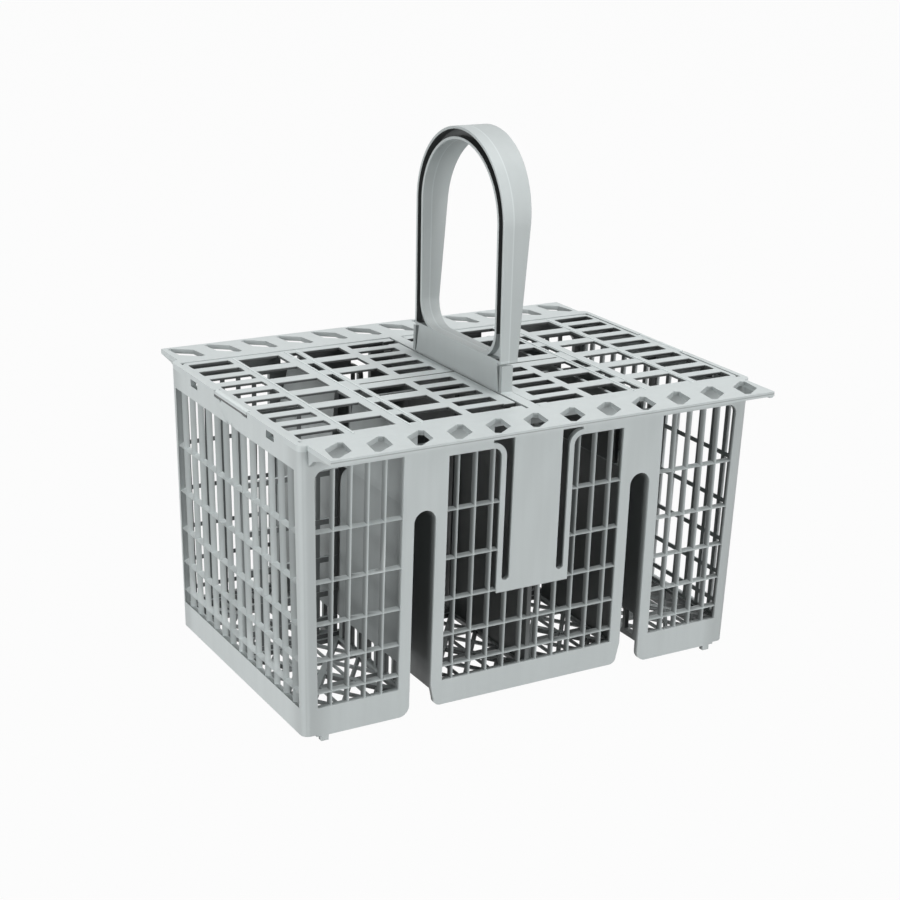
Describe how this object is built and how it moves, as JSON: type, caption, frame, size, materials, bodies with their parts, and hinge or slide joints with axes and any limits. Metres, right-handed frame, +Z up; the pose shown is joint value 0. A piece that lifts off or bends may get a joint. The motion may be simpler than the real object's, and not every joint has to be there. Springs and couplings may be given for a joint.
{
  "type": "dishwasher cutlery basket",
  "caption": "Rectangular lattice cutlery basket for a dishwasher, with arched tunnels for rack tines, slotted hinged lids, side flanges and a carrying loop.",
  "frame": {"origin": "middle of the footprint, at the underside of the feet", "axes": "+X along the length to the right lid, +Y to the back, +Z up"},
  "size_m": [0.21, 0.1634, 0.225],
  "materials": {
    "grey_plastic": "satin moulded polypropylene"
  },
  "bodies": {
    "basket": {"basket_body": "grey_plastic", "handle": "grey_plastic"},
    "lid_left": {"left_lid": "grey_plastic"},
    "lid_right": {"right_lid": "grey_plastic"}
  },
  "joints": [
    {"name": "left_lid_hinge", "type": "hinge", "parent": "basket", "child": "lid_left", "pos_m": [-0.0047, 0, 0.1217], "axis": [0, 1, 0], "range_deg": [0, 85]},
    {"name": "right_lid_hinge", "type": "hinge", "parent": "basket", "child": "lid_right", "pos_m": [0.0047, 0, 0.1217], "axis": [0, -1, 0], "range_deg": [0, 80]}
  ]
}
